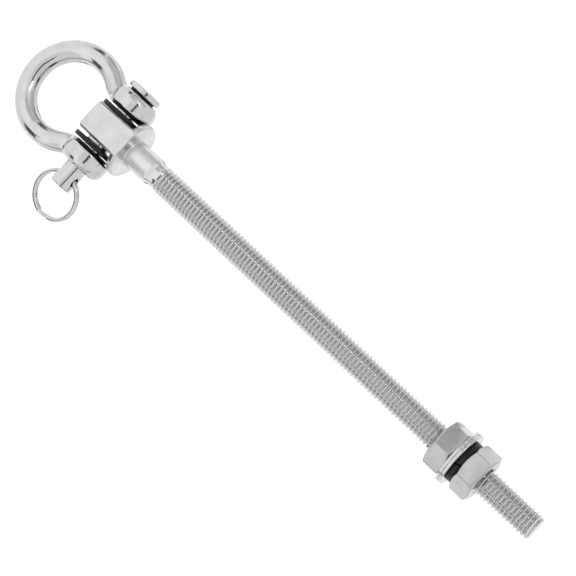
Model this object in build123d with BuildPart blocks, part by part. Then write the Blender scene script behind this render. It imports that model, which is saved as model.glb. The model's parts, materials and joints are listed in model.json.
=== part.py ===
from build123d import *

import os
from math import acos, cos, degrees, radians, sin, tan

# Swing hanger bolt: a bow shackle pinned across a lug, on a collared M8 rod with its
# nuts and washers. Millimetres. The origin is the centre of the collar's seat, +Z runs
# along the rod to its tip, the shackle hangs towards -Z and its pin lies along X.

# Threaded rod, M8 x 1.25, from the collar's seat to the tip
rod_length = 150.0
shank_radius = 4.05
shank_length = 8.5
runout_radius = 3.65
runout_taper = 1.0
thread_pitch = 1.25
thread_turns = 110
thread_radius = 3.92
thread_depth = 0.7
thread_crest = thread_pitch / 8
tip_length = 0.6
tip_radius = 3.1

# Collar and lug block, forged in one piece with the rod. The collar has two flats that
# stand flush with the block's faces.
collar_radius = 8.65
collar_thickness = 2.0
collar_rounding = 0.6
collar_flat_rounding = 0.3
lug_width = 9.2
lug_depth = 15.3
lug_end_z = -15.0
lug_corner = 1.0

# Clevis pin, its axis along X
pin_z = -9.5
pin_radius = 3.25
pin_end_x = 20.8
pin_end_chamfer = 0.4
pin_head_radius = 5.2
pin_head_thickness = 1.75
pin_head_edge = 0.3
pin_washer_radius = 4.05
pin_washer_thickness = 0.5
cross_hole_x = 17.4
cross_hole_radius = 1.5
cross_hole_flare = 0.6

# Sleeve through the lug, standing proud of it on the right, and a disc at each end
running_clearance = 0.05
pin_bore_radius = pin_radius + running_clearance
sleeve_radius = 3.7
sleeve_hole_radius = sleeve_radius + running_clearance
sleeve_edge = 0.1
sleeve_stand_off = 1.0
lug_disc_radius = 7.1
lug_disc_thickness = 1.3
disc_edge = 0.2

# Flanged bushes, one in each ear
ear_bush_flange_radius = 5.4
ear_bush_flange_thickness = 0.78
ear_bush_flange_rounding = 0.3
ear_bush_barrel = 5.0

# Bow shackle. It hangs over to one side by the play in the jaw.
side_play = 0.45
jaw_width = 15.2
ear_thickness = 5.55
ear_radius = 7.0
ear_outer_rounding = 2.6
ear_inner_rounding = 0.7
bow_radius = 13.25
bow_centre_z = -25.5
bow_crown_bar_radius = 3.32
bow_neck_bar_radius = 2.95
neck_x = 9.75
neck_bend_radius = 8.0
spot_face_radius = 6.2

# Split ring of flat wire, two coils, threaded through the pin's cross hole and swung
# round it a little way towards +Y
ring_radius = 6.95
ring_offset = 6.5
ring_lean = 22.0
ring_wire_width = 1.2
ring_wire_thickness = 0.8
ring_wire_rounding = 0.25
ring_coil_gap = 0.04
ring_crossing = 30.0

# Nuts and washers, stacked from the collar's side towards the tip
stack_z = 116.8
nut_across_flats = 13.0
nut_height = 6.0
nut_face_radius = 6.2
nut_chamfer_angle = 30.0
nut_bore_radius = thread_radius + running_clearance
nut_bore_mouth = 0.4
upper_nut_turn = 19.0
lower_nut_turn = 4.5
flat_washer_radius = 8.25
flat_washer_bore_radius = 4.2
flat_washer_thickness = 0.87
flat_washer_edge = 0.2
spring_washer_radius = 6.3
spring_washer_bore_radius = 4.1
spring_washer_thickness = 1.62
spring_washer_gap = 0.5
spring_washer_split_lean = 25.0
spring_washer_split_turn = 14.0

# Places worked out from the sizes above
thread_start = rod_length - tip_length - thread_turns * thread_pitch
ear_inner_x = jaw_width / 2
pin_seat_x = side_play - ear_inner_x - ear_thickness - pin_washer_thickness
ring_centre_x = cross_hole_x + ring_offset

os.makedirs("parts", exist_ok=True)


def finish(piece, name):
    """Label a finished piece and write its file."""
    piece.label = name
    export_step(piece, f"parts/{name}.step")
    print(f"{name}: {piece.volume:.1f} mm3")


def across_pin(x):
    """The plane square to the pin's axis at x, facing +X."""
    return Plane(origin=(x, 0, pin_z), x_dir=(0, 1, 0), z_dir=(1, 0, 0))


# Lug bolt: block, collar, smooth shank and thread in one piece. The thread is cut as
# rings of the true pitch and depth, so the nuts keep a plain bore over its crests.
thread_outline = []
for turn in range(thread_turns):
    root_z = thread_start + turn * thread_pitch
    crest_z = root_z + thread_pitch / 2
    thread_outline.append((thread_radius - thread_depth, root_z))
    thread_outline.append((thread_radius, crest_z - thread_crest / 2))
    thread_outline.append((thread_radius, crest_z + thread_crest / 2))

with BuildPart() as collar:
    with BuildSketch(Plane.XY.offset(-collar_thickness)):
        Circle(collar_radius)
    extrude(amount=collar_thickness)
    fillet(collar.edges().filter_by(GeomType.CIRCLE), collar_rounding)
    with BuildSketch(Plane.XY.offset(-collar_thickness)):
        Rectangle(2 * collar_radius, lug_depth)
    extrude(amount=collar_thickness, mode=Mode.INTERSECT)
    fillet(collar.edges().filter_by(Axis.X).group_by(Axis.Z)[-1], collar_flat_rounding)

with BuildPart() as lug_bolt:
    with BuildSketch(Plane.XY.offset(lug_end_z)):
        Rectangle(lug_width, lug_depth)
    extrude(amount=-lug_end_z - collar_thickness / 2)
    fillet(lug_bolt.edges().filter_by(Axis.Z), lug_corner)
    fillet(lug_bolt.faces().sort_by(Axis.Z)[0].edges(), lug_corner)
    add(collar.part)

    with BuildSketch(Plane.XZ):
        with BuildLine():
            Polyline(
                (0, -collar_thickness / 2),
                (shank_radius, -collar_thickness / 2),
                (shank_radius, shank_length),
                (runout_radius, shank_length + runout_taper),
                (runout_radius, thread_start - runout_taper),
                *thread_outline,
                (thread_radius - thread_depth, rod_length - tip_length),
                (thread_radius - thread_depth / 2, rod_length - tip_length / 2),
                (tip_radius, rod_length),
                (0, rod_length),
                close=True,
            )
        make_face()
    revolve(axis=Axis.Z)

    with BuildSketch(across_pin(0)):
        Circle(sleeve_hole_radius)
    extrude(amount=lug_width, both=True, mode=Mode.SUBTRACT)
finish(lug_bolt.part, "lug_bolt")


# Bow shackle: a round bar bent to a horseshoe, thicker at its crown, with a round ear
# at each end. Each neck is an arc that meets the bow and the ear without a corner. The
# bar is spot-faced round the pin, level with the ears' inner faces.
neck_swing = acos((neck_x + neck_bend_radius) / (bow_radius + neck_bend_radius))
neck_z = bow_centre_z + (bow_radius + neck_bend_radius) * sin(neck_swing)
neck_angle = degrees(neck_swing)
bend_x = neck_x + neck_bend_radius
bow_plane = Plane(origin=(side_play, 0, 0), x_dir=(1, 0, 0), z_dir=(0, -1, 0))

with BuildPart() as bow_shackle:
    for side in (-1, 1):
        with BuildSketch(across_pin(side_play + side * ear_inner_x)):
            Circle(ear_radius)
        extrude(amount=side * ear_thickness)
    rims = bow_shackle.edges().filter_by(GeomType.CIRCLE).sort_by(Axis.X)
    fillet([rims[0], rims[-1]], ear_outer_rounding)
    fillet([rims[1], rims[-2]], ear_inner_rounding)

    with BuildLine(bow_plane) as bow_line:
        CenterArc((-bend_x, neck_z), neck_bend_radius, 0, -neck_angle)
        CenterArc((0, bow_centre_z), bow_radius, 180 - neck_angle, 180 + 2 * neck_angle)
        CenterArc((bend_x, neck_z), neck_bend_radius, 180 + neck_angle, -neck_angle)
    bow_wire = bow_line.wire()
    for place, bar_radius in (
        (0, bow_neck_bar_radius),
        (0.5, bow_crown_bar_radius),
        (1, bow_neck_bar_radius),
    ):
        with BuildSketch(Plane(origin=bow_wire @ place, z_dir=bow_wire % place)):
            Circle(bar_radius)
    sweep(path=bow_wire, multisection=True)

    with BuildSketch(across_pin(side_play)):
        Circle(spot_face_radius)
    extrude(amount=ear_inner_x, both=True, mode=Mode.SUBTRACT)

    with BuildSketch(across_pin(side_play)):
        Circle(sleeve_hole_radius)
    extrude(amount=jaw_width, both=True, mode=Mode.SUBTRACT)
finish(bow_shackle.part, "bow_shackle")


# Lug sleeve, flush with the lug on the left and proud of it on the right
sleeve_end_x = lug_width / 2 + sleeve_stand_off
with BuildPart() as lug_sleeve:
    with BuildSketch(across_pin(-lug_width / 2)):
        Circle(sleeve_radius)
        Circle(pin_bore_radius, mode=Mode.SUBTRACT)
    extrude(amount=lug_width + sleeve_stand_off)
    chamfer(lug_sleeve.edges().filter_by(GeomType.CIRCLE), sleeve_edge)
finish(lug_sleeve.part, "lug_sleeve")

for name, seat_x, way in (("lug_disc_left", -lug_width / 2, -1), ("lug_disc_right", sleeve_end_x, 1)):
    with BuildPart() as lug_disc:
        with BuildSketch(across_pin(seat_x)):
            Circle(lug_disc_radius)
            Circle(pin_bore_radius, mode=Mode.SUBTRACT)
        extrude(amount=way * lug_disc_thickness)
        chamfer(lug_disc.edges().filter_by(GeomType.CIRCLE), disc_edge)
    finish(lug_disc.part, name)

# Ear bushes, their flanges inside the jaw
for name, way in (("ear_bush_left", -1), ("ear_bush_right", 1)):
    seat_x = side_play + way * ear_inner_x
    with BuildPart() as ear_bush:
        with BuildSketch(across_pin(seat_x)):
            Circle(ear_bush_flange_radius)
        extrude(amount=-way * ear_bush_flange_thickness)
        fillet(ear_bush.edges().filter_by(GeomType.CIRCLE), ear_bush_flange_rounding)
        with BuildSketch(across_pin(seat_x)):
            Circle(sleeve_radius)
        extrude(amount=way * ear_bush_barrel)
        with BuildSketch(across_pin(seat_x)):
            Circle(pin_bore_radius)
        extrude(amount=jaw_width, both=True, mode=Mode.SUBTRACT)
    finish(ear_bush.part, name)


# Clevis pin: thin disc head on the left, cross hole flared at both mouths on the right
with BuildPart() as clevis_pin:
    with BuildSketch(across_pin(pin_seat_x)):
        Circle(pin_head_radius)
    extrude(amount=-pin_head_thickness)
    fillet(clevis_pin.edges().filter_by(GeomType.CIRCLE), pin_head_edge)
    with BuildSketch(across_pin(pin_seat_x)):
        Circle(pin_radius)
    extrude(amount=pin_end_x - pin_seat_x)
    chamfer(clevis_pin.faces().sort_by(Axis.X)[-1].edges(), pin_end_chamfer)
    with BuildSketch(Plane(origin=(cross_hole_x, 0, pin_z))):
        Circle(cross_hole_radius)
    extrude(amount=2 * pin_radius, both=True, mode=Mode.SUBTRACT)
    for side in (-1, 1):
        mouth = Plane(
            origin=(cross_hole_x, 0, pin_z + side * (pin_radius - cross_hole_flare)),
            x_dir=(1, 0, 0),
            z_dir=(0, 0, side),
        )
        with BuildSketch(mouth):
            Circle(cross_hole_radius)
        extrude(amount=2 * cross_hole_flare, taper=-45, mode=Mode.SUBTRACT)
finish(clevis_pin.part, "clevis_pin")

with BuildPart() as pin_head_washer:
    with BuildSketch(across_pin(pin_seat_x)):
        Circle(pin_washer_radius)
        Circle(pin_bore_radius, mode=Mode.SUBTRACT)
    extrude(amount=pin_washer_thickness)
finish(pin_head_washer.part, "pin_head_washer")


# Split ring: two flat coils side by side, joined where the wire crosses over between
# its own two ends, on the side away from the pin. It is laid out square to the pin and
# then swung round the cross hole.
def on_ring(angle, y):
    """The wire's centre at an angle round the ring, counted from the +X side."""
    x = ring_centre_x + ring_radius * cos(radians(angle))
    return Vector(x, y, pin_z + ring_radius * sin(radians(angle)))


def along_ring(angle):
    """The wire's direction at an angle round the ring."""
    return Vector(-sin(radians(angle)), 0, cos(radians(angle)))


coil_y = (ring_wire_thickness + ring_coil_gap) / 2
half_crossing = ring_crossing / 2
with BuildPart() as split_ring:
    with BuildLine() as ring_line:
        ThreePointArc(
            on_ring(half_crossing, -coil_y), on_ring(180, -coil_y), on_ring(-half_crossing, -coil_y)
        )
        Spline(
            on_ring(-half_crossing, -coil_y),
            on_ring(0, 0),
            on_ring(half_crossing, coil_y),
            tangents=[along_ring(-half_crossing), along_ring(half_crossing)],
        )
        ThreePointArc(
            on_ring(half_crossing, coil_y), on_ring(180, coil_y), on_ring(-half_crossing, coil_y)
        )
    wire_start = Plane(
        origin=on_ring(half_crossing, -coil_y),
        x_dir=(0, 1, 0),
        z_dir=along_ring(half_crossing),
    )
    with BuildSketch(wire_start):
        RectangleRounded(ring_wire_thickness, ring_wire_width, ring_wire_rounding)
    sweep(path=ring_line.wire())
cross_hole_axis = Axis((cross_hole_x, 0, pin_z), (0, 0, 1))
finish(split_ring.part.rotate(cross_hole_axis, ring_lean), "split_ring")


def hex_nut(name, base_z, turn):
    """A hexagon nut chamfered at both ends, a face turned by an angle from -Y to -X."""
    with BuildPart() as nut:
        with BuildSketch(Plane.XY.offset(base_z)):
            RegularPolygon(nut_across_flats / 2, 6, major_radius=False, rotation=-turn)
        extrude(amount=nut_height)
        corner_radius = nut_across_flats / 2 / cos(radians(30))
        corner_drop = (corner_radius - nut_face_radius) * tan(radians(nut_chamfer_angle))
        with BuildSketch(Plane.XZ):
            with BuildLine():
                Polyline(
                    (0, base_z),
                    (nut_face_radius, base_z),
                    (corner_radius, base_z + corner_drop),
                    (corner_radius, base_z + nut_height - corner_drop),
                    (nut_face_radius, base_z + nut_height),
                    (0, base_z + nut_height),
                    close=True,
                )
            make_face()
        revolve(axis=Axis.Z, mode=Mode.INTERSECT)
        with BuildSketch(Plane.XY.offset(base_z)):
            Circle(nut_bore_radius)
        extrude(amount=nut_height, mode=Mode.SUBTRACT)
        mouths = nut.edges().filter_by(GeomType.CIRCLE)
        mouths = mouths.filter_by(lambda edge: abs(edge.radius - nut_bore_radius) < 0.01)
        chamfer(mouths, nut_bore_mouth)
    finish(nut.part, name)


def flat_washer(name, base_z):
    """A plain washer with broken edges."""
    with BuildPart() as washer:
        with BuildSketch(Plane.XY.offset(base_z)):
            Circle(flat_washer_radius)
        extrude(amount=flat_washer_thickness)
        fillet(washer.edges().filter_by(GeomType.CIRCLE), flat_washer_edge)
        with BuildSketch(Plane.XY.offset(base_z)):
            Circle(flat_washer_bore_radius)
        extrude(amount=flat_washer_thickness, mode=Mode.SUBTRACT)
    finish(washer.part, name)


upper_washer_z = stack_z + nut_height
lower_washer_z = upper_washer_z + flat_washer_thickness
spring_washer_z = lower_washer_z + flat_washer_thickness
lower_nut_z = spring_washer_z + spring_washer_thickness

hex_nut("upper_nut", stack_z, upper_nut_turn)
flat_washer("upper_flat_washer", upper_washer_z)
flat_washer("lower_flat_washer", lower_washer_z)
hex_nut("lower_nut", lower_nut_z, lower_nut_turn)

# Spring lock washer, pressed flat, with its slanting split on the -Y side
split_x = sin(radians(spring_washer_split_turn))
split_y = -cos(radians(spring_washer_split_turn))
with BuildPart() as spring_lock_washer:
    with BuildSketch(Plane.XY.offset(spring_washer_z)):
        Circle(spring_washer_radius)
        Circle(spring_washer_bore_radius, mode=Mode.SUBTRACT)
    extrude(amount=spring_washer_thickness)
    split_plane = Plane(
        origin=(0, 0, spring_washer_z + spring_washer_thickness / 2),
        x_dir=(-split_y, split_x, 0),
        z_dir=(split_x, split_y, 0),
    )
    with BuildSketch(split_plane):
        Rectangle(
            spring_washer_gap, 2 * spring_washer_thickness, rotation=spring_washer_split_lean
        )
    extrude(amount=2 * spring_washer_radius, mode=Mode.SUBTRACT)
finish(spring_lock_washer.part, "spring_lock_washer")
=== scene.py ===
import json
from math import acos, ceil, cos, pi, radians, sin, sqrt, tan

import bmesh
import bpy
from mathutils import Matrix, Vector, noise


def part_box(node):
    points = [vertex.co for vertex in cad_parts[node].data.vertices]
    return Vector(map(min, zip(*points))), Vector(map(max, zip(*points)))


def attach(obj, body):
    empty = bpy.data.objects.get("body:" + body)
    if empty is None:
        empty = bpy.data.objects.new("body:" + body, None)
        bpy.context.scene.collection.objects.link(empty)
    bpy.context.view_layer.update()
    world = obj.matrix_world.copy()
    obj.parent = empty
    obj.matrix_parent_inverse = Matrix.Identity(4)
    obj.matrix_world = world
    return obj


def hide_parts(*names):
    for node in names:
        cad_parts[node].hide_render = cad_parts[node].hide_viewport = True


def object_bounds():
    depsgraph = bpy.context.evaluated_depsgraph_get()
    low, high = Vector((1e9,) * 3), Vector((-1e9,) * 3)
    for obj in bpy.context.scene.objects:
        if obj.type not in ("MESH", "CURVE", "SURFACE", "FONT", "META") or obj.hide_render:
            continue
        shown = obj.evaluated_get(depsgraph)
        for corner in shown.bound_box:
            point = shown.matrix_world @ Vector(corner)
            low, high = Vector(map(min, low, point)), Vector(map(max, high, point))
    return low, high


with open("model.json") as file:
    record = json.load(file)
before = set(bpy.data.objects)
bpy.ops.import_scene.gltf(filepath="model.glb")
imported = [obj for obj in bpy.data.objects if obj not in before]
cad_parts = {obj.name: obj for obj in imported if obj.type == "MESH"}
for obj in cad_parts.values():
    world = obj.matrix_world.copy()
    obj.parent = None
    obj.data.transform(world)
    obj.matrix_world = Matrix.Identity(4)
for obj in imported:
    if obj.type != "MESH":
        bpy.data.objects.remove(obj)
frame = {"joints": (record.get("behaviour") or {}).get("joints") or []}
cad_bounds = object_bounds()
noise.seed_set(1)  # without a seed, noise_vector differs on every run

# Swing hanger bolt, in metres. +Z runs along the rod to its tip, the pin lies along X.
MM = 0.001
ROUND = 96  # sides of a turned piece
SHARP = radians(32)  # edges bent more than this stay crisp
SHANK_RADIUS = 4.05 * MM
THREAD_RADIUS = 3.92 * MM
ROOT_RADIUS = 3.3 * MM  # where the painted shade in the thread roots is full


# ---------------------------------------------------------------- places, from the frame

def size_of(node):
    low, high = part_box(node)
    return high - low


def middle_of(node):
    low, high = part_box(node)
    return (low + high) / 2


bolt_low, bolt_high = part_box("lug_bolt")
pin_low, pin_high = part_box("clevis_pin")
bow_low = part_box("bow_shackle")[0]
pin_z = middle_of("clevis_pin").z
rod_tip = bolt_high.z


# ---------------------------------------------------------------- mesh helpers

def add_piece(name, verts, faces, material, body, nodes, slot, sharp=SHARP, weld=1e-7):
    """Make one closed mesh, shade it, and hang it on its body in place of CAD nodes."""
    mesh = bpy.data.meshes.new(name)
    mesh.from_pydata([tuple(v) for v in verts], [], faces)
    bm = bmesh.new()
    bm.from_mesh(mesh)
    bmesh.ops.remove_doubles(bm, verts=bm.verts, dist=weld)
    bmesh.ops.dissolve_degenerate(bm, edges=bm.edges, dist=weld)
    bmesh.ops.recalc_face_normals(bm, faces=bm.faces)
    bm.to_mesh(mesh)
    bm.free()
    piece = bpy.data.objects.new(name, mesh)
    bpy.context.scene.collection.objects.link(piece)
    return dress(piece, material, body, nodes, sharp)


def dress(piece, material, body, nodes, sharp=SHARP):
    """Shade a finished mesh, give it its material and hang it on its body."""
    mesh = piece.data
    mesh.materials.clear()
    mesh.materials.append(material)
    mesh.shade_smooth()
    mesh.set_sharp_from_angle(angle=sharp)
    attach(piece, body)
    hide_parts(*nodes)
    return piece


def rounded(corners, steps=5):
    """A profile from corners (along, out, rounding), each rounded corner as an arc."""
    points = []
    for i, (along, out, rounding) in enumerate(corners):
        here = Vector((along, out))
        if rounding == 0:
            points.append(here)
            continue
        before = (Vector(corners[i - 1][:2]) - here).normalized()
        after = (Vector(corners[(i + 1) % len(corners)][:2]) - here).normalized()
        half = before.angle(after) / 2
        centre = here + (before + after).normalized() * rounding / sin(half)
        first = here + before * rounding / tan(half) - centre
        last = here + after * rounding / tan(half) - centre
        opening = first.angle(last)
        for step in range(steps + 1):
            t = step / steps
            spoke = first * sin((1 - t) * opening) + last * sin(t * opening)
            points.append(centre + spoke / sin(opening))
    return points


def along_z(centre=(0, 0, 0)):
    x, y, z = centre
    return lambda a, u, v: Vector((x + u, y + v, z + a))


def along_x(centre):
    x, y, z = centre
    return lambda a, u, v: Vector((x + a, y + u, z + v))


def turned_faces(sides, count, closed):
    """The faces between columns of count points that stand in a circle."""
    faces = []
    for side in range(sides):
        here, there = side * count, (side + 1) % sides * count
        for row in range(count if closed else count - 1):
            up = (row + 1) % count
            faces.append((here + row, here + up, there + up, there + row))
    return faces


def lofted_faces(stations, count):
    """The faces along rings of count points, with a cap at either end."""
    faces = []
    for i in range(stations - 1):
        here, there = i * count, (i + 1) * count
        for k in range(count):
            n = (k + 1) % count
            faces.append((here + k, here + n, there + n, there + k))
    faces.append(tuple(range(count)))
    faces.append(tuple(range((stations - 1) * count, stations * count)))
    return faces


def lathe(profile, place, closed=False, sides=ROUND):
    """Turn a profile of (along, out) points. An open one starts and ends on the axis."""
    verts = []
    for side in range(sides):
        turn = 2 * pi * side / sides
        verts += [place(p[0], p[1] * cos(turn), p[1] * sin(turn)) for p in profile]
    return verts, turned_faces(sides, len(profile), closed)


def sweep(stations, section):
    """Loft a closed section through stations of (centre, out, side), capped at both ends.

    section(t) gives the section's (out, side) points at a share t of the way along.
    """
    verts = []
    for i, (centre, out, side) in enumerate(stations):
        ring = section(i / (len(stations) - 1))
        verts += [centre + out * u + side * v for u, v in ring]
    return verts, lofted_faces(len(stations), len(verts) // len(stations))


def combine(piece, cutter_verts, cutter_faces, operation):
    """Join a closed mesh to a piece, or cut it away, as the piece's own new mesh."""
    mesh = bpy.data.meshes.new("cutter")
    mesh.from_pydata([tuple(v) for v in cutter_verts], [], cutter_faces)
    bm = bmesh.new()
    bm.from_mesh(mesh)
    bmesh.ops.remove_doubles(bm, verts=bm.verts, dist=1e-7)
    bmesh.ops.recalc_face_normals(bm, faces=bm.faces)
    bm.to_mesh(mesh)
    bm.free()
    cutter = bpy.data.objects.new("cutter", mesh)
    bpy.context.scene.collection.objects.link(cutter)
    change = piece.modifiers.new("change", "BOOLEAN")
    change.operation = operation
    change.solver = "EXACT"
    change.object = cutter
    bake(piece)
    bpy.data.objects.remove(cutter)


def bake(piece):
    """Turn a piece's modifiers into its own mesh."""
    bpy.context.view_layer.update()
    graph = bpy.context.evaluated_depsgraph_get()
    finished = bpy.data.meshes.new_from_object(piece.evaluated_get(graph))
    piece.modifiers.clear()
    piece.data = finished


def wander(verts, amount, scale, seed):
    """Move points by a soft, fixed noise, as forging and tumbling leave a surface."""
    shift = Vector((seed, seed * 1.7, seed * 0.6))
    return [v + noise.noise_vector(v / scale + shift) * amount for v in verts]


# ---------------------------------------------------------------- materials

def nodes_of(name):
    """A new material, its node tree, its shader and the object's own coordinates."""
    material = bpy.data.materials.new(name)
    material.use_nodes = True
    tree = material.node_tree
    shader = tree.nodes["Principled BSDF"]
    place = tree.nodes.new("ShaderNodeTexCoord")
    return material, tree, shader, place.outputs["Object"]


def noise_node(tree, place, scale, detail, stretch=(1, 1, 1), roughness=0.5):
    mapping = tree.nodes.new("ShaderNodeMapping")
    mapping.inputs["Scale"].default_value = stretch
    tree.links.new(place, mapping.inputs["Vector"])
    texture = tree.nodes.new("ShaderNodeTexNoise")
    texture.inputs["Scale"].default_value = scale
    texture.inputs["Detail"].default_value = detail
    texture.inputs["Roughness"].default_value = roughness
    tree.links.new(mapping.outputs["Vector"], texture.inputs["Vector"])
    return texture.outputs["Fac"]


def spread(tree, source, low, high, from_low=0.3, from_high=0.7):
    """Map a noise to a range of numbers."""
    node = tree.nodes.new("ShaderNodeMapRange")
    node.inputs["From Min"].default_value = from_low
    node.inputs["From Max"].default_value = from_high
    node.inputs["To Min"].default_value = low
    node.inputs["To Max"].default_value = high
    tree.links.new(source, node.inputs["Value"])
    return node.outputs["Result"]


def tint(tree, source, dark, light):
    """Map a noise to colours between two."""
    ramp = tree.nodes.new("ShaderNodeValToRGB")
    ramp.color_ramp.elements[0].position = 0.3
    ramp.color_ramp.elements[0].color = (*dark, 1)
    ramp.color_ramp.elements[1].position = 0.7
    ramp.color_ramp.elements[1].color = (*light, 1)
    tree.links.new(source, ramp.inputs["Fac"])
    return ramp.outputs["Color"]


def bumps(tree, shader, layers):
    """Stack bump layers of (height, distance in metres) onto a shader."""
    normal = None
    for height, distance in layers:
        bump = tree.nodes.new("ShaderNodeBump")
        bump.inputs["Strength"].default_value = 1.0
        bump.inputs["Distance"].default_value = distance
        tree.links.new(height, bump.inputs["Height"])
        if normal is not None:
            tree.links.new(normal, bump.inputs["Normal"])
        normal = bump.outputs["Normal"]
    tree.links.new(normal, shader.inputs["Normal"])


# noise scales, in waves per metre
SWELL = 130
CLOUDS = 260
STREAKS = 2600
FINE_GRAIN = 0.001 * MM  # height of the finest bumps
WARMTH = 0.005  # how much less blue than red the lighter steel is


def steel(name, dark, light, smooth, rough, waves, stretch=(1, 1, 1)):
    """Polished stainless steel: cloudy colour and gloss, slow waves and a fine grain."""
    material, tree, shader, place = nodes_of(name)
    shader.inputs["Metallic"].default_value = 1.0
    clouds = noise_node(tree, place, CLOUDS, 3)
    streaks = noise_node(tree, place, STREAKS, 4, stretch)
    slow = noise_node(tree, place, SWELL, 2)
    colour = tint(tree, clouds, (dark, dark, dark), (light, light, light - WARMTH))
    tree.links.new(colour, shader.inputs["Base Color"])
    tree.links.new(spread(tree, streaks, smooth, rough), shader.inputs["Roughness"])
    bumps(tree, shader, [(slow, waves), (streaks, FINE_GRAIN)])
    return material


def radius_node(tree, place):
    """The distance from the rod's axis."""
    across = tree.nodes.new("ShaderNodeVectorMath")
    across.operation = "MULTIPLY"
    across.inputs[1].default_value = (1, 1, 0)
    tree.links.new(place, across.inputs[0])
    radius = tree.nodes.new("ShaderNodeVectorMath")
    radius.operation = "LENGTH"
    tree.links.new(across.outputs["Vector"], radius.inputs[0])
    return radius.outputs["Value"]


def rolled_thread(name):
    """Steel painted darker in the thread roots as shade and lighter on the crests as highlight, with
    a satin shank, told apart by radius.
    """
    material, tree, shader, place = nodes_of(name)
    shader.inputs["Metallic"].default_value = 1.0
    radius = radius_node(tree, place)
    height = spread(tree, radius, 0, 1, ROOT_RADIUS, THREAD_RADIUS)
    satin = spread(tree, radius, 0, 0.2, THREAD_RADIUS, SHANK_RADIUS)
    streaks = noise_node(tree, place, STREAKS, 4)
    slow = noise_node(tree, place, SWELL, 2)
    gloss = tree.nodes.new("ShaderNodeMath")
    gloss.operation = "ADD"
    tree.links.new(spread(tree, streaks, 0.08, 0.18), gloss.inputs[0])
    tree.links.new(satin, gloss.inputs[1])
    tree.links.new(gloss.outputs["Value"], shader.inputs["Roughness"])
    # base colour: painted shade in the thread roots, painted lighter towards the crests
    dark, light = (0.54, 0.54, 0.54), (0.68, 0.68, 0.675)
    tree.links.new(tint(tree, height, dark, light), shader.inputs["Base Color"])
    bumps(tree, shader, [(slow, 0.1 * MM), (streaks, 0.0012 * MM)])
    return material


def black(name, mottles, grains, dark, light, smooth, rough, tooth):
    """A black material, faintly mottled in colour and gloss, with a fine tooth."""
    material, tree, shader, place = nodes_of(name)
    mottle = noise_node(tree, place, *mottles)
    grain = noise_node(tree, place, *grains)
    tree.links.new(tint(tree, mottle, dark, light), shader.inputs["Base Color"])
    tree.links.new(spread(tree, mottle, smooth, rough), shader.inputs["Roughness"])
    bumps(tree, shader, [(grain, tooth)])
    return material, shader


def moulded_nylon(name):
    """Black plastic, matt."""
    material, shader = black(
        name, mottles=(900, 3), grains=(6000, 3), dark=(0.004, 0.004, 0.0045),
        light=(0.012, 0.012, 0.0125), smooth=0.36, rough=0.52, tooth=0.006 * MM,
    )
    shader.inputs["IOR"].default_value = 1.53
    shader.inputs["Specular IOR Level"].default_value = 0.25
    return material


def black_oxide(name):
    """Blackened spring steel."""
    material, shader = black(
        name, mottles=(700, 4), grains=(5000, 3), dark=(0.006, 0.006, 0.007),
        light=(0.018, 0.018, 0.018), smooth=0.28, rough=0.45, tooth=0.008 * MM,
    )
    shader.inputs["Metallic"].default_value = 0.6
    return material


forged = steel("forged_steel", dark=0.55, light=0.63, smooth=0.11, rough=0.19, waves=0.2 * MM)
turned = steel("turned_steel", dark=0.56, light=0.63, smooth=0.12, rough=0.2, waves=0.06 * MM,
               stretch=(6, 1, 1))
threaded = rolled_thread("thread_steel")
wire = steel("ring_steel", dark=0.54, light=0.63, smooth=0.1, rough=0.16, waves=0.02 * MM)
nut_metal = steel("nut_steel", dark=0.42, light=0.52, smooth=0.15, rough=0.24, waves=0.14 * MM)
pressed = steel("washer_steel", dark=0.54, light=0.63, smooth=0.14, rough=0.22, waves=0.08 * MM)
nylon = moulded_nylon("black_nylon")
oxide = black_oxide("black_spring_steel")


# ---------------------------------------------------------------- lug bolt

COLLAR_THICKNESS = 2.0 * MM
COLLAR_ROUNDING = 0.6 * MM
COLLAR_FLAT_ROUNDING = 0.3 * MM
LUG_WIDTH = 9.2 * MM
LUG_ROUNDING = 1.0 * MM
BORE_RADIUS = 3.75 * MM
SHANK_LENGTH = 8.5 * MM
RUNOUT_RADIUS = 3.65 * MM
PITCH = 1.25 * MM
THREAD_START = 11.2 * MM
THREAD_DEPTH = 0.74 * MM
THREAD_RUN_IN = 1.6 * PITCH
TIP_RADIUS = 3.1 * MM
TIP_SLOPE = 0.9
THREAD_SIDES = 48
# one pitch of the thread, root to root: (share of the pitch, share of the depth cut)
THREAD_FORM = (
    (0.0, 1.0), (0.09, 0.93), (0.16, 0.78), (0.42, 0.07), (0.47, 0.0),
    (0.53, 0.0), (0.58, 0.07), (0.84, 0.78), (0.91, 0.93),
)

collar_radius = size_of("lug_bolt").x / 2
lug_depth = size_of("lug_bolt").y


def smooth_step(t):
    t = min(max(t, 0.0), 1.0)
    return t * t * (3 - 2 * t)


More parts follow.
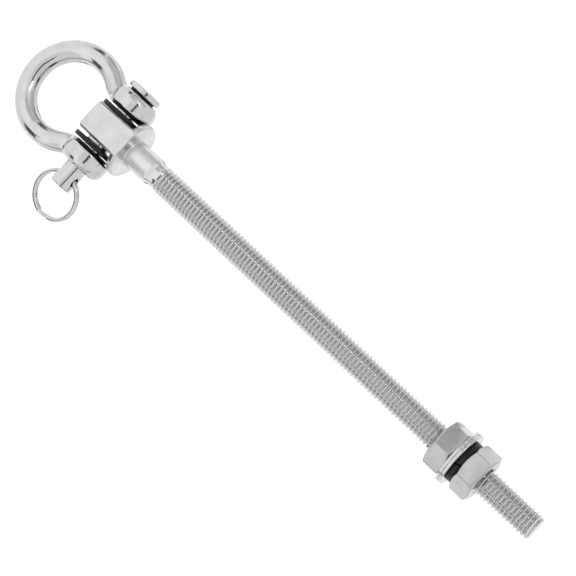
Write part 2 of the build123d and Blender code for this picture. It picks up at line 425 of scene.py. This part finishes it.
def rod_mesh():
    """The shank, its run-out and a true right-hand helical thread with a chamfered tip."""
    form = len(THREAD_FORM)
    turns = ceil((rod_tip - THREAD_START) / PITCH) + 2
    rows = turns * form
    verts = []
    for side in range(THREAD_SIDES):
        share = side / THREAD_SIDES
        for row in range(rows):
            step, cut = THREAD_FORM[row % form]
            z = THREAD_START + (row // form + step + share - 1) * PITCH
            fade = smooth_step((z - THREAD_START) / THREAD_RUN_IN)
            crest = RUNOUT_RADIUS + (THREAD_RADIUS - RUNOUT_RADIUS) * fade
            out = crest - cut * THREAD_DEPTH * fade
            out = min(out, TIP_RADIUS + (rod_tip - z) * TIP_SLOPE)
            if z <= THREAD_START:
                z, out = THREAD_START, RUNOUT_RADIUS
            if z >= rod_tip:
                z, out = rod_tip, TIP_RADIUS
            turn = 2 * pi * share
            verts.append(Vector((out * cos(turn), out * sin(turn), z)))
    faces = []
    for side in range(THREAD_SIDES):
        last = side == THREAD_SIDES - 1
        for row in range(rows - 1):
            over = row + form if last else row
            if over + 1 >= rows:
                continue
            here, there = side * rows + row, (side + 1) % THREAD_SIDES * rows + over
            faces.append((here, here + 1, there + 1, there))

    def add_turned(profile):
        new_verts, new_faces = lathe(profile, along_z(), sides=THREAD_SIDES)
        base = len(verts)
        verts.extend(new_verts)
        faces.extend([tuple(i + base for i in f) for f in new_faces])

    # the satin shank, its softened end and the cone down to the run-out
    shank = [
        (-COLLAR_THICKNESS / 2, 0), (-COLLAR_THICKNESS / 2, SHANK_RADIUS),
        (0.0, SHANK_RADIUS), (SHANK_LENGTH - 0.3 * MM, SHANK_RADIUS),
        (SHANK_LENGTH - 0.05 * MM, SHANK_RADIUS - 0.02 * MM),
        (SHANK_LENGTH + 0.2 * MM, SHANK_RADIUS - 0.1 * MM),
        (SHANK_LENGTH + 0.8 * MM, RUNOUT_RADIUS + 0.06 * MM),
        (SHANK_LENGTH + 1.05 * MM, RUNOUT_RADIUS), (THREAD_START, RUNOUT_RADIUS),
    ]
    add_turned(shank)
    add_turned([(rod_tip, TIP_RADIUS), (rod_tip, TIP_RADIUS * 0.9), (rod_tip, 0)])
    return verts, faces


def collar_mesh():
    """The collar, rounded on both rims, with two flats and a soft root for the shank."""
    profile = rounded([
        (-COLLAR_THICKNESS, 0, 0),
        (-COLLAR_THICKNESS, collar_radius, COLLAR_ROUNDING),
        (0, collar_radius, COLLAR_ROUNDING),
        (0, SHANK_RADIUS + 0.5 * MM, 0),
        (0.06 * MM, SHANK_RADIUS + 0.2 * MM, 0),
        (0.4 * MM, SHANK_RADIUS - 0.02 * MM, 0),
        (0.4 * MM, 0, 0),
    ], steps=12)
    verts, faces = lathe(profile, along_z(), sides=256)
    for v in verts:
        rise = min(max(v.z + COLLAR_FLAT_ROUNDING, 0), COLLAR_FLAT_ROUNDING)
        inset = COLLAR_FLAT_ROUNDING - sqrt(COLLAR_FLAT_ROUNDING ** 2 - rise ** 2)
        reach = lug_depth / 2 - inset
        if abs(v.y) > reach:
            v.xy *= reach / abs(v.y)
    return verts, faces


def lug_mesh():
    """The lug block as a box with rounded edges and corners."""
    bm = bmesh.new()
    bmesh.ops.create_cube(bm, size=1)
    height = -COLLAR_THICKNESS / 2 - bolt_low.z
    for v in bm.verts:
        v.co = Vector((v.co.x * LUG_WIDTH, v.co.y * lug_depth, bolt_low.z + (v.co.z + 0.5) * height))
    edges = [e for e in bm.edges if min(v.co.z for v in e.verts) < bolt_low.z + height / 2]
    bmesh.ops.bevel(
        bm, geom=edges, offset=LUG_ROUNDING, offset_type="OFFSET", segments=6, profile=0.5,
        affect="EDGES", clamp_overlap=True,
    )
    mesh = bpy.data.meshes.new("lug")
    bm.to_mesh(mesh)
    bm.free()
    verts = [v.co.copy() for v in mesh.vertices]
    faces = [tuple(p.vertices) for p in mesh.polygons]
    bpy.data.meshes.remove(mesh)
    return verts, faces


add_piece("threaded_rod", *rod_mesh(), threaded, "lug_bolt", ["lug_bolt"], "forged_steel",
          sharp=radians(18))
head = add_piece("lug_head", *collar_mesh(), forged, "lug_bolt", ["lug_bolt"], "forged_steel")
combine(head, *lug_mesh(), "UNION")
bore = [(-LUG_WIDTH, 0), (-LUG_WIDTH, BORE_RADIUS), (LUG_WIDTH, BORE_RADIUS), (LUG_WIDTH, 0)]
combine(head, *lathe(bore, along_x((0, 0, pin_z))), "DIFFERENCE")
dress(head, forged, "lug_bolt", ["lug_bolt"])


# ---------------------------------------------------------------- bow shackle

EAR_RADIUS = 7.0 * MM
EAR_THICKNESS = 5.55 * MM
EAR_OUTER_ROUNDING = 2.6 * MM
EAR_INNER_ROUNDING = 0.7 * MM
JAW = 15.2 * MM
CROWN_BAR_RADIUS = 3.32 * MM
NECK_BAR_RADIUS = 2.95 * MM
BOW_RADIUS = 13.25 * MM
NECK_X = 9.75 * MM
NECK_BEND_RADIUS = 8.0 * MM
SPOT_FACE_RADIUS = 6.2 * MM
BAR_SIDES = 40
BAR_STATIONS = 150
EAR_RIM_ROWS = (1.3 * MM, 2.1 * MM)  # rows that let the flat of the rim wander
EAR_UNEVENNESS = 0.045 * MM
EAR_RIPPLE = 3.5 * MM
BAR_UNEVENNESS = 0.03 * MM
BAR_RIPPLE = 6 * MM

bow_x = middle_of("bow_shackle").x
bow_centre_z = bow_low.z + CROWN_BAR_RADIUS + BOW_RADIUS


def bow_stations():
    """Centre, outward and side directions along the bow, from the left ear to the right."""
    swing = acos((NECK_X + NECK_BEND_RADIUS) / (BOW_RADIUS + NECK_BEND_RADIUS))
    bend_x = NECK_X + NECK_BEND_RADIUS
    bend_z = bow_centre_z + (BOW_RADIUS + NECK_BEND_RADIUS) * sin(swing)
    neck, bow = NECK_BEND_RADIUS * swing, BOW_RADIUS * (pi + 2 * swing)
    total = 2 * neck + bow
    stations = []
    for i in range(BAR_STATIONS):
        way = total * i / (BAR_STATIONS - 1)
        side, left = (1, way) if way < total / 2 else (-1, total - way)
        if left < neck:
            turn = left / NECK_BEND_RADIUS
            spoke = Vector((cos(turn), 0, -sin(turn)))
            centre = Vector((-bend_x, 0, bend_z)) + spoke * NECK_BEND_RADIUS
            out = -spoke
        else:
            turn = swing - (left - neck) / BOW_RADIUS
            out = Vector((-cos(turn), 0, sin(turn)))
            centre = Vector((0, 0, bow_centre_z)) + out * BOW_RADIUS
        centre.x *= side
        out.x *= side
        stations.append((centre + Vector((bow_x, 0, 0)), out, Vector((0, 1, 0))))
    return stations


def bar_section(t):
    """The bow's round bar, thickest at the crown."""
    share = 1 - abs(2 * t - 1)
    radius = NECK_BAR_RADIUS + (CROWN_BAR_RADIUS - NECK_BAR_RADIUS) * share
    return [
        (radius * cos(2 * pi * k / BAR_SIDES), radius * sin(2 * pi * k / BAR_SIDES))
        for k in range(BAR_SIDES)
    ]


def ear_mesh(side):
    """A bored ear, its outer rim well rounded."""
    inner, outer = side * JAW / 2, side * (JAW / 2 + EAR_THICKNESS)
    profile = rounded([
        (inner, BORE_RADIUS, 0),
        (inner, EAR_RADIUS, EAR_INNER_ROUNDING),
        *[(inner + side * row, EAR_RADIUS, 0) for row in EAR_RIM_ROWS],
        (outer, EAR_RADIUS, EAR_OUTER_ROUNDING),
        (outer, BORE_RADIUS, 0),
    ], steps=8)
    verts, faces = lathe(profile, along_x((bow_x, 0, pin_z)), closed=True, sides=144)
    return wander(verts, EAR_UNEVENNESS, EAR_RIPPLE, 7.0 + side), faces


bar_verts, bar_faces = sweep(bow_stations(), bar_section)
bow = add_piece("bow_shackle_body", wander(bar_verts, BAR_UNEVENNESS, BAR_RIPPLE, 3.0), bar_faces,
                forged, "shackle", ["bow_shackle"], "forged_steel")
spot_face = [(-JAW / 2, 0), (-JAW / 2, SPOT_FACE_RADIUS), (JAW / 2, SPOT_FACE_RADIUS), (JAW / 2, 0)]
combine(bow, *lathe(spot_face, along_x((bow_x, 0, pin_z))), "DIFFERENCE")
for side in (-1, 1):
    combine(bow, *ear_mesh(side), "UNION")
dress(bow, forged, "shackle", ["bow_shackle"])


# ---------------------------------------------------------------- sleeve, discs, bushes

PIN_RADIUS = 3.25 * MM
PIN_BORE_RADIUS = 3.3 * MM
SLEEVE_RADIUS = 3.7 * MM


def collar_on_pin(node, bore, edge, material, body, slot):
    """A plain ring round the pin, as wide as its CAD box, with both outer rims rounded."""
    low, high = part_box(node)
    out = (high.z - low.z) / 2
    profile = rounded([
        (low.x, bore, edge / 2), (low.x, out, edge), (high.x, out, edge), (high.x, bore, edge / 2),
    ], steps=5)
    turned_mesh = lathe(profile, along_x((0, 0, pin_z)), closed=True, sides=128)
    add_piece(node + "_body", *turned_mesh, material, body, [node], slot)


collar_on_pin("lug_sleeve", PIN_BORE_RADIUS, 0.12 * MM, turned, "lug_bolt", "pin_steel")
collar_on_pin("lug_disc_left", PIN_BORE_RADIUS, 0.25 * MM, nylon, "lug_bolt", "black_nylon")
collar_on_pin("lug_disc_right", PIN_BORE_RADIUS, 0.25 * MM, nylon, "lug_bolt", "black_nylon")

FLANGE_THICKNESS = 0.78 * MM
FLANGE_EDGE = 0.35 * MM


def ear_bush(node, way):
    """A flanged bush whose barrel runs the given way from its flange."""
    low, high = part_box(node)
    flange_radius = (high.z - low.z) / 2
    face = low.x if way > 0 else high.x
    end = high.x if way > 0 else low.x
    seat = face + way * FLANGE_THICKNESS
    profile = rounded([
        (face, PIN_BORE_RADIUS, 0),
        (face, flange_radius, FLANGE_EDGE),
        (seat, flange_radius, FLANGE_EDGE),
        (seat, SLEEVE_RADIUS, 0),
        (end, SLEEVE_RADIUS, 0.1 * MM),
        (end, PIN_BORE_RADIUS, 0),
    ], steps=5)
    turned_mesh = lathe(profile, along_x((0, 0, pin_z)), closed=True)
    add_piece(node + "_body", *turned_mesh, nylon, "shackle", [node], "black_nylon")


ear_bush("ear_bush_left", -1)
ear_bush("ear_bush_right", 1)


# ---------------------------------------------------------------- clevis pin

HEAD_THICKNESS = 1.75 * MM
HEAD_EDGE = 0.35 * MM
PIN_END_EDGE = 0.4 * MM
PIN_END_ROUNDING = 0.1 * MM
CROSS_HOLE_RADIUS = 1.5 * MM
CROSS_HOLE_FLARE = 0.6 * MM
cross_hole_x = next(j["pos_m"][0] for j in frame["joints"] if j["name"] == "ring_swing")

head_radius = size_of("clevis_pin").z / 2
head_in = pin_low.x + HEAD_THICKNESS
pin_profile = rounded([
    (pin_low.x, 0, 0),
    (pin_low.x, head_radius, HEAD_EDGE),
    (head_in, head_radius, HEAD_EDGE),
    (head_in, PIN_RADIUS, 0),
    (pin_high.x - PIN_END_EDGE, PIN_RADIUS, PIN_END_ROUNDING),
    (pin_high.x, PIN_RADIUS - PIN_END_EDGE, PIN_END_ROUNDING),
    (pin_high.x, 0, 0),
])
pin = add_piece("clevis_pin_body", *lathe(pin_profile, along_x((0, 0, pin_z))), turned,
                "pin", ["clevis_pin"], "pin_steel")
flare_z = PIN_RADIUS - CROSS_HOLE_FLARE
hole = [
    (-2 * PIN_RADIUS, 0), (-2 * PIN_RADIUS, CROSS_HOLE_RADIUS + 2 * PIN_RADIUS - flare_z),
    (-flare_z, CROSS_HOLE_RADIUS), (flare_z, CROSS_HOLE_RADIUS),
    (2 * PIN_RADIUS, CROSS_HOLE_RADIUS + 2 * PIN_RADIUS - flare_z), (2 * PIN_RADIUS, 0),
]
combine(pin, *lathe(hole, along_z((cross_hole_x, 0, pin_z)), sides=48), "DIFFERENCE")
dress(pin, turned, "pin", ["clevis_pin"])

collar_on_pin("pin_head_washer", PIN_BORE_RADIUS, 0.12 * MM, nylon, "pin", "black_nylon")


# ---------------------------------------------------------------- split ring

WIRE_WIDTH = 1.2 * MM
WIRE_THICKNESS = 0.8 * MM
WIRE_EDGE = 0.38 * MM
COIL_GAP = 0.04 * MM
CROSSING = radians(15)
RING_STATIONS = 240
RING_OFFSET = 6.5 * MM
RING_LEAN = radians(22)
ring_radius = size_of("split_ring").z / 2 - WIRE_WIDTH / 2


def ring_stations():
    """Two flat coils, with the wire crossing from one to the other between its ends."""
    outward = Vector((cos(RING_LEAN), sin(RING_LEAN), 0))
    across = Vector((-sin(RING_LEAN), cos(RING_LEAN), 0))
    centre = Vector((cross_hole_x, 0, pin_z)) + outward * RING_OFFSET
    stations = []
    coil_y = (WIRE_THICKNESS + COIL_GAP) / 2
    start, end = CROSSING, 4 * pi - CROSSING
    for i in range(RING_STATIONS + 1):
        turn = start + (end - start) * i / RING_STATIONS
        over = smooth_step((turn - 2 * pi + CROSSING) / (2 * CROSSING))
        out = outward * cos(turn) + Vector((0, 0, sin(turn)))
        aside = across * coil_y * (2 * over - 1)
        stations.append((centre + aside + out * ring_radius, out, across))
    return stations


def wire_section(_):
    """The flattened wire, alike all the way along."""
    half_w, half_t = WIRE_WIDTH / 2, WIRE_THICKNESS / 2
    return [tuple(p) for p in rounded([
        (-half_w, -half_t, WIRE_EDGE), (half_w, -half_t, WIRE_EDGE),
        (half_w, half_t, WIRE_EDGE), (-half_w, half_t, WIRE_EDGE),
    ], steps=4)]


add_piece("split_ring_wire", *sweep(ring_stations(), wire_section), wire, "ring", ["split_ring"],
          "ring_steel")


# ---------------------------------------------------------------- nuts and washers

NUT_FACE_RADIUS = 6.2 * MM
NUT_CORNER_ROUNDING = 0.35 * MM
NUT_BORE_RADIUS = 3.97 * MM
NUT_MOUTH = 0.4 * MM
NUT_FLATS = 13.0 * MM
NUT_SLOPE = tan(radians(30))  # of the chamfer's cone
NUT_EDGE = 0.12 * MM  # softening where the cone meets the end face and the walls
NUT_SIDES = 192


def hex_out(turn):
    """The distance out to a hexagon's wall, its corners a little rounded."""
    off = (turn % (pi / 3)) - pi / 6
    flat = NUT_FLATS / 2 / cos(off)
    corner = NUT_FLATS / 2 / cos(pi / 6) - NUT_CORNER_ROUNDING * (1 / cos(pi / 6) - 1)
    return min(flat, corner)


def nut(node, body, turn_degrees):
    """A hexagon nut whose corners are cut by a cone at both ends.

    At a turn of 0 one of its flats faces -Y, and turning moves that flat towards -X.
    """
    low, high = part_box(node)
    height = high.z - low.z
    ease = NUT_EDGE * NUT_SLOPE
    verts = []
    for side in range(NUT_SIDES):
        turn = 2 * pi * side / NUT_SIDES
        wall = hex_out(turn)
        drop = (wall - NUT_FACE_RADIUS) * NUT_SLOPE
        half = [
            (0, NUT_BORE_RADIUS + NUT_MOUTH),
            (0, NUT_FACE_RADIUS - NUT_EDGE),
            (0.01 * MM, NUT_FACE_RADIUS),
            (ease, NUT_FACE_RADIUS + NUT_EDGE),
            (max(drop - ease, ease), max(wall - NUT_EDGE, NUT_FACE_RADIUS + NUT_EDGE * 0.9)),
            (drop + NUT_EDGE * 0.3, wall - NUT_EDGE / 4),
            (drop + NUT_EDGE * 1.6, wall),
        ]
        column = [(NUT_MOUTH, NUT_BORE_RADIUS)] + half
        column += [(height - a, r) for a, r in reversed(column)]
        angle = turn - radians(turn_degrees)
        verts += [Vector((r * cos(angle), r * sin(angle), low.z + a)) for a, r in column]
    faces = turned_faces(NUT_SIDES, len(verts) // NUT_SIDES, closed=True)
    add_piece(node + "_body", verts, faces, nut_metal, body, [node], "nut_steel")


UPPER_NUT_TURN = 19.0  # degrees
LOWER_NUT_TURN = 4.5
nut("upper_nut", "upper_nut", UPPER_NUT_TURN)
nut("lower_nut", "lower_nut", LOWER_NUT_TURN)

FLAT_WASHER_BORE = 4.2 * MM
WASHER_DIE_ROLL = 0.25 * MM
WASHER_BURR = 0.1 * MM


def flat_washer(node, body):
    """A pressed washer: rounded where the die went in, crisp where it came out."""
    low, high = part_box(node)
    radius = (high.x - low.x) / 2
    profile = rounded([
        (low.z, FLAT_WASHER_BORE, WASHER_BURR),
        (low.z, radius, WASHER_BURR),
        (high.z, radius, WASHER_DIE_ROLL),
        (high.z, FLAT_WASHER_BORE, WASHER_DIE_ROLL),
    ], steps=5)
    add_piece(node + "_body", *lathe(profile, along_z(), closed=True, sides=128), pressed, body,
              [node], "washer_steel")


flat_washer("upper_flat_washer", "upper_washer")
flat_washer("lower_flat_washer", "lower_washers")

SPRING_WASHER_BORE = 4.1 * MM
SPRING_WASHER_STATIONS = 121
SPLIT_GAP = 0.5 * MM
SPLIT_LEAN = radians(25)  # from upright
SPLIT_TURN = radians(14)  # from -Y towards +X


def spring_washer():
    """A lock washer pressed flat: a thick ring cut through by one slanting split."""
    low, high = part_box("spring_lock_washer")
    outer = (high.x - low.x) / 2
    half = (high.z - low.z) / 2
    middle = (high.z + low.z) / 2
    edge = 0.25 * MM
    section = rounded([
        (-half, SPRING_WASHER_BORE, 0.15 * MM), (-half, outer, edge),
        (half, outer, edge), (half, SPRING_WASHER_BORE, 0.15 * MM),
    ], steps=4)
    gap = SPLIT_GAP / outer
    split = SPLIT_TURN - pi / 2
    verts = []
    for i in range(SPRING_WASHER_STATIONS):
        turn = split + gap / 2 + (2 * pi - gap) * i / (SPRING_WASHER_STATIONS - 1)
        for a, r in section:
            lean = -a * tan(SPLIT_LEAN) / outer
            verts.append(Vector((r * cos(turn + lean), r * sin(turn + lean), middle + a)))
    faces = lofted_faces(SPRING_WASHER_STATIONS, len(section))
    add_piece("spring_lock_washer_body", verts, faces, oxide, "lower_washers",
              ["spring_lock_washer"], "black_spring_steel")


spring_washer()


# ---------------------------------------------------------------- floor, light, camera

AIM = Vector((-1.84 * MM, 0, 59.1 * MM))
CAMERA_TILT = radians(16.6)
CAMERA_DISTANCE = 470 * MM
ROD_FALL = radians(43.05)  # how steeply the rod falls to the right on screen
LENS = 110.24
FLOOR_DROP = 0.5
FLOOR_REACH = 30.0
FLOOR_GLOW = 0.28
WORLD_STRENGTH = 0.98


def plain_sheet(name, corners, grey):
    """A flat, matt sheet of one grey that belongs to the studio, not to the object."""
    mesh = bpy.data.meshes.new(name)
    mesh.from_pydata(corners, [], [(0, 1, 2, 3)])
    sheet = bpy.data.objects.new(name, mesh)
    bpy.context.scene.collection.objects.link(sheet)
    material, _, shader, _ = nodes_of(name)
    shader.inputs["Base Color"].default_value = (grey, grey, grey, 1)
    shader.inputs["Roughness"].default_value = 0.9
    shader.inputs["Specular IOR Level"].default_value = 0.0
    mesh.materials.append(material)
    return sheet


def floor():
    """A wide pale floor a little way under the hanging shackle."""
    z = cad_bounds[0].z - FLOOR_DROP
    square = ((-1, -1), (1, -1), (1, 1), (-1, 1))
    corners = [(x * FLOOR_REACH, y * FLOOR_REACH, z) for x, y in square]
    sheet = plain_sheet("floor", corners, 0.95)
    shader = sheet.data.materials[0].node_tree.nodes["Principled BSDF"]
    shader.inputs["Emission Color"].default_value = (1, 1, 1, 1)
    shader.inputs["Emission Strength"].default_value = FLOOR_GLOW


def towards(azimuth, elevation):
    """The direction at an azimuth from -Y towards +X and a height above the horizon."""
    turn, rise = radians(azimuth), radians(elevation)
    return Vector((sin(turn) * cos(rise), -cos(turn) * cos(rise), sin(rise)))


def card(name, azimuth, low, high, width, distance, grey):
    """An upright card that only shows in reflections, reaching from low to high.

    Azimuth, low, high and width are degrees seen from the rod, the distance is in metres.
    """
    out = towards(azimuth, 0)
    side = Vector((-out.y, out.x, 0)) * tan(radians(width / 2)) * distance
    foot = AIM + out * distance + Vector((0, 0, tan(radians(low)) * distance))
    head = AIM + out * distance + Vector((0, 0, tan(radians(high)) * distance))
    sheet = plain_sheet(name, [foot - side, foot + side, head + side, head - side], grey)
    sheet.visible_camera = False


def soft_light(name, azimuth, elevation, distance, width, height, power):
    """A rectangular soft light aimed at the rod: degrees, metres and watts."""
    data = bpy.data.lights.new(name, "AREA")
    data.shape = "RECTANGLE"
    data.size, data.size_y = width, height
    data.energy = power
    lamp = bpy.data.objects.new(name, data)
    away = towards(azimuth, elevation)
    lamp.location = AIM + away * distance
    lamp.rotation_euler = away.to_track_quat("Z", "Y").to_euler()
    bpy.context.scene.collection.objects.link(lamp)


def surroundings():
    """An even white world."""
    world = bpy.data.worlds.new("studio")
    bpy.context.scene.world = world
    world.use_nodes = True
    world.node_tree.nodes["Background"].inputs["Color"].default_value = (1, 1, 1, 1)
    world.node_tree.nodes["Background"].inputs["Strength"].default_value = WORLD_STRENGTH


def camera():
    """Square to the pin, above the horizon, with the rod falling to the right."""
    back = Vector((0, -cos(CAMERA_TILT), sin(CAMERA_TILT)))
    rod_on_screen = Vector((0, sin(CAMERA_TILT), cos(CAMERA_TILT)))
    across = Vector((1, 0, 0))
    right = rod_on_screen * cos(ROD_FALL) - across * sin(ROD_FALL)
    up = -rod_on_screen * sin(ROD_FALL) - across * cos(ROD_FALL)
    data = bpy.data.cameras.new("camera")
    data.lens = LENS
    data.sensor_width = 36
    data.clip_start = 0.01
    data.clip_end = 100
    lens = bpy.data.objects.new("camera", data)
    turn = Matrix((right, up, back)).transposed()
    lens.matrix_world = Matrix.Translation(AIM + back * CAMERA_DISTANCE) @ turn.to_4x4()
    bpy.context.scene.collection.objects.link(lens)
    bpy.context.scene.camera = lens


floor()
surroundings()
soft_light("key", -37, 30, 1.2, 0.14, 0.3, 0.7)
soft_light("back_light", 180, 19.5, 1.4, 1.2, 0.28, 0.26)
card("dark_card_right", 97, -24, 60, 7, 1.0, 0.12)
card("grey_card_left", -80, -24, 40, 34, 1.0, 0.68)
card("grey_card_front", -40, -24, 3, 38, 1.1, 0.72)
card("grey_card_back_left", -148, -21, -8, 26, 1.4, 0.3)
card("grey_card_back_right", 148, -21, -8, 26, 1.4, 0.3)
card("dark_bar_front", 0, 24, 37, 62, 0.9, 0.03)
card("dark_card_low_left", -70, -47, -29, 44, 0.7, 0.14)
card("dark_card_low_right", 70, -42, -24, 44, 0.7, 0.1)
camera()
bpy.context.scene.view_settings.view_transform = "Standard"
